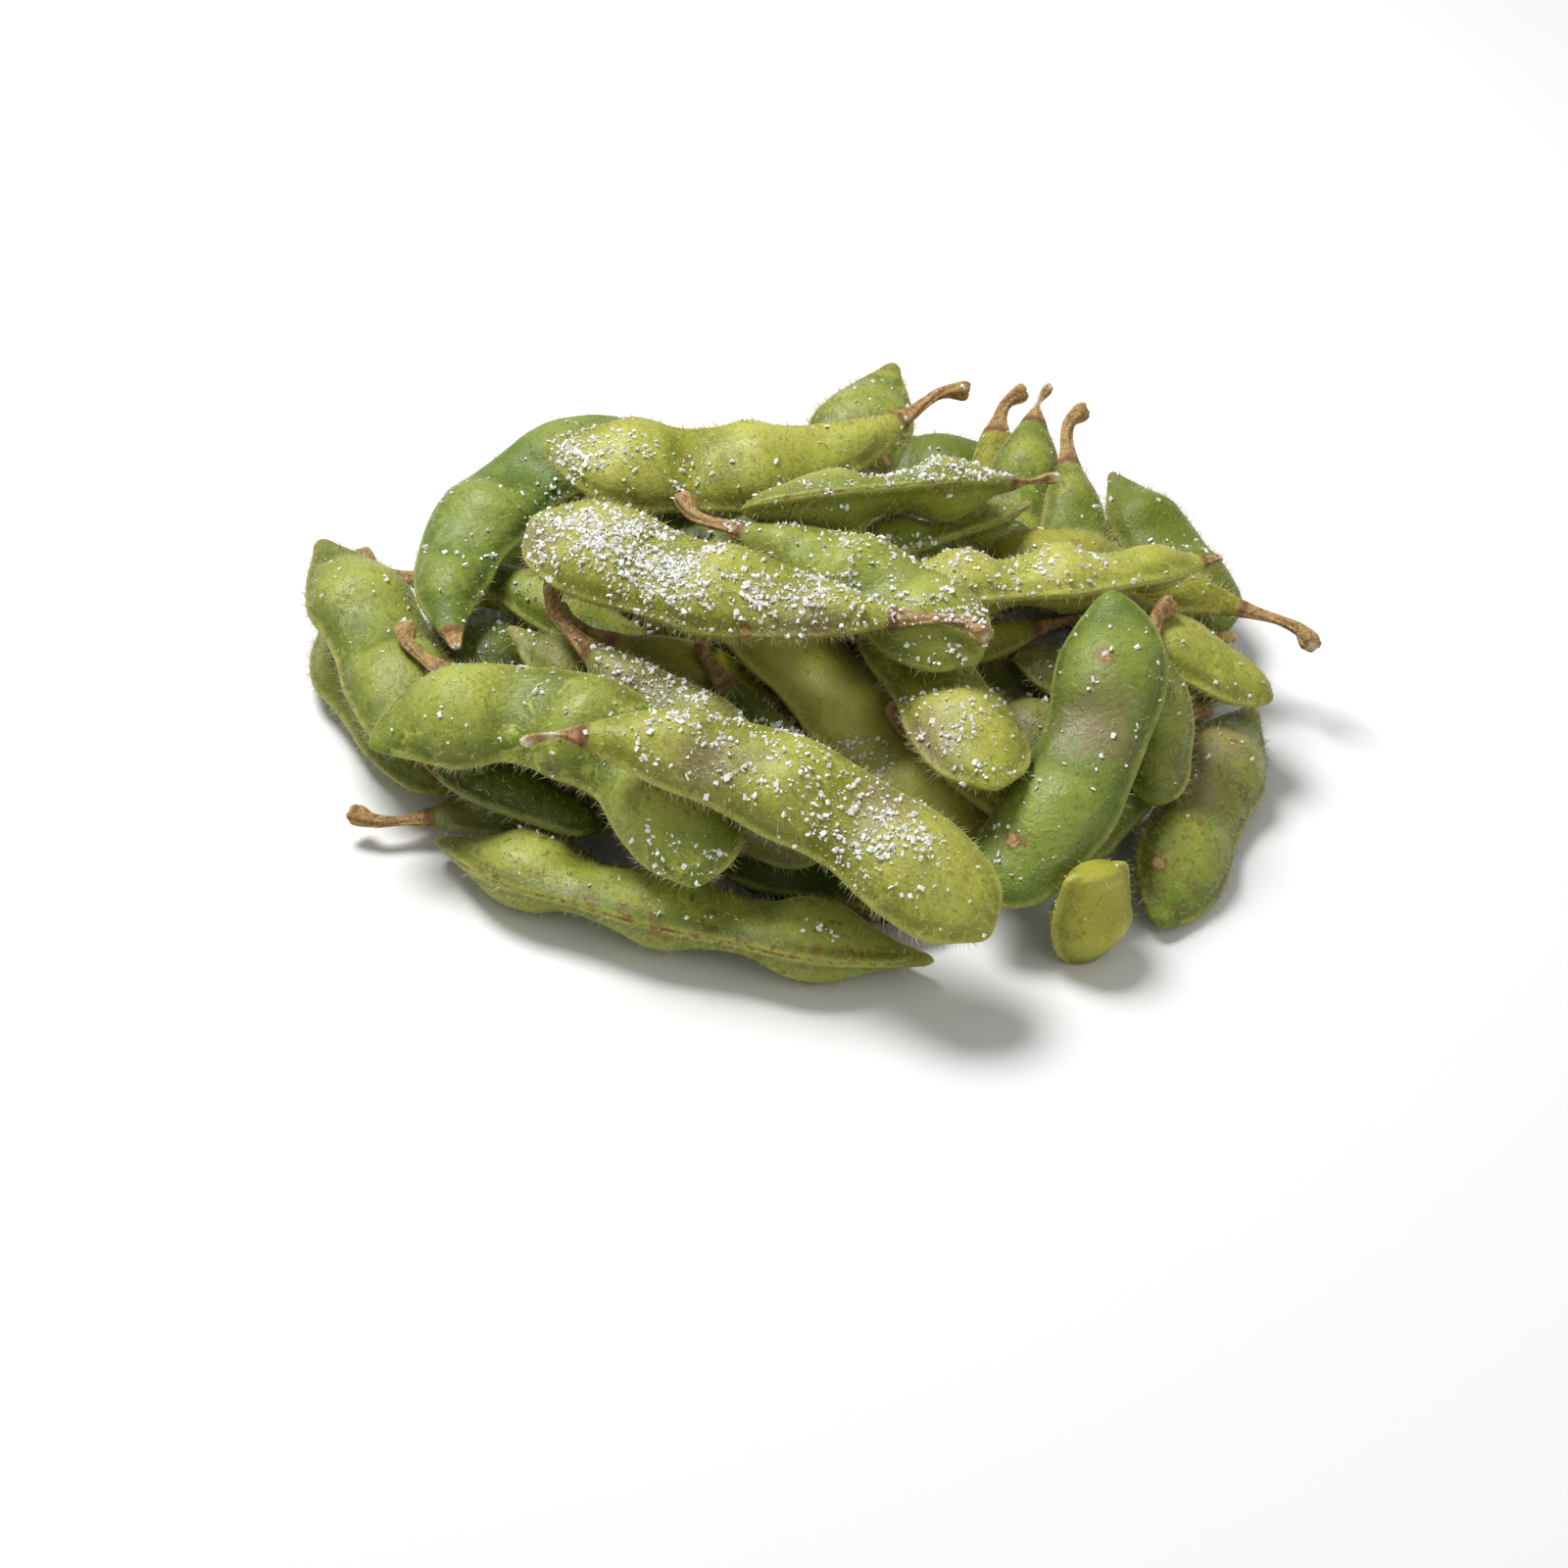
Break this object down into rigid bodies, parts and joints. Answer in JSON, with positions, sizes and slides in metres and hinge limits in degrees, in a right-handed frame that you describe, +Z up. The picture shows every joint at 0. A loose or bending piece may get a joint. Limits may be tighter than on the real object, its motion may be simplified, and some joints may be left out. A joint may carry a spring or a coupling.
{
  "type": "edamame pod bundle",
  "caption": "Loose heap of boiled, salted edamame pods lying across each other, with bean bulges, raised seams, dried stalks and hooked beaks; rests on a flat surface",
  "frame": {"origin": "on the resting surface, under the middle of the heap's bounding box", "axes": "+Z up; +X along the heap's longest side, to the viewer's right in the picture; +Y away from the viewer"},
  "size_m": [0.1394, 0.1282, 0.0352],
  "materials": {
    "pod_lime": "bright yellow-green pod skin, slightly moist, finely haired",
    "pod_fresh": "mid green pod skin, slightly moist, finely haired",
    "pod_bluish": "smooth bluish-green pod skin, slightly moist",
    "pod_deep": "dark green pod skin, slightly moist, finely haired",
    "pod_grey": "grey-green pod skin with dense short hair",
    "pod_olive": "yellow-olive pod skin with brown ends"
  },
  "bodies": {
    "root": {"pod_under_left": "pod_deep", "pod_under_middle": "pod_deep", "pod_under_centre": "pod_deep", "pod_under_back": "pod_deep", "pod_under_far_back": "pod_deep", "pod_under_back_left": "pod_deep", "pod_under_back_right": "pod_deep", "pod_under_top_back": "pod_deep", "pod_under_top_left": "pod_deep", "pod_under_top_middle": "pod_deep", "pod_under_top_centre": "pod_deep", "pod_front_seam": "pod_fresh", "pod_blunt_front": "pod_olive", "pod_dark_front_right": "pod_deep", "pod_dark_front_round": "pod_deep", "pod_stem_left": "pod_grey", "pod_left_slim": "pod_fresh", "pod_right_seam": "pod_fresh", "pod_dark_right": "pod_deep", "pod_right_stem": "pod_olive", "pod_neck_far_left": "pod_olive", "pod_back_right_tip": "pod_deep", "pod_dark_left": "pod_deep", "pod_grey_left": "pod_grey", "pod_tan_stem": "pod_olive", "pod_slim_left": "pod_deep", "pod_fuzzy_behind": "pod_grey", "pod_hooked_behind": "pod_fresh", "pod_pale_right": "pod_lime", "pod_right_stub": "pod_grey", "pod_pink_nub": "pod_olive", "pod_round_right": "pod_grey", "pod_thin_neck": "pod_olive", "pod_left_broad": "pod_fresh", "pod_pale_under": "pod_lime", "pod_behind_top": "pod_fresh", "pod_thin_sliver": "pod_olive", "pod_upright_back": "pod_fresh", "pod_upright_hook": "pod_fresh", "pod_right_neck": "pod_fresh", "pod_tip_left": "pod_fresh", "pod_stem_on_left": "pod_olive", "pod_dark_between": "pod_deep", "pod_slim_neck": "pod_deep", "pod_hooked_stem": "pod_grey", "pod_blunt_hanging": "pod_lime", "pod_right_broad": "pod_bluish", "pod_left_arched": "pod_fresh", "pod_salted_back_short": "pod_fresh", "pod_bright_right": "pod_lime", "pod_elbow": "pod_bluish", "pod_salted_back": "pod_fresh", "pod_top_back": "pod_lime", "pod_seamed_diagonal": "pod_fresh", "pod_front_broad": "pod_lime", "pod_salted_middle": "pod_lime"}
  },
  "joints": []
}
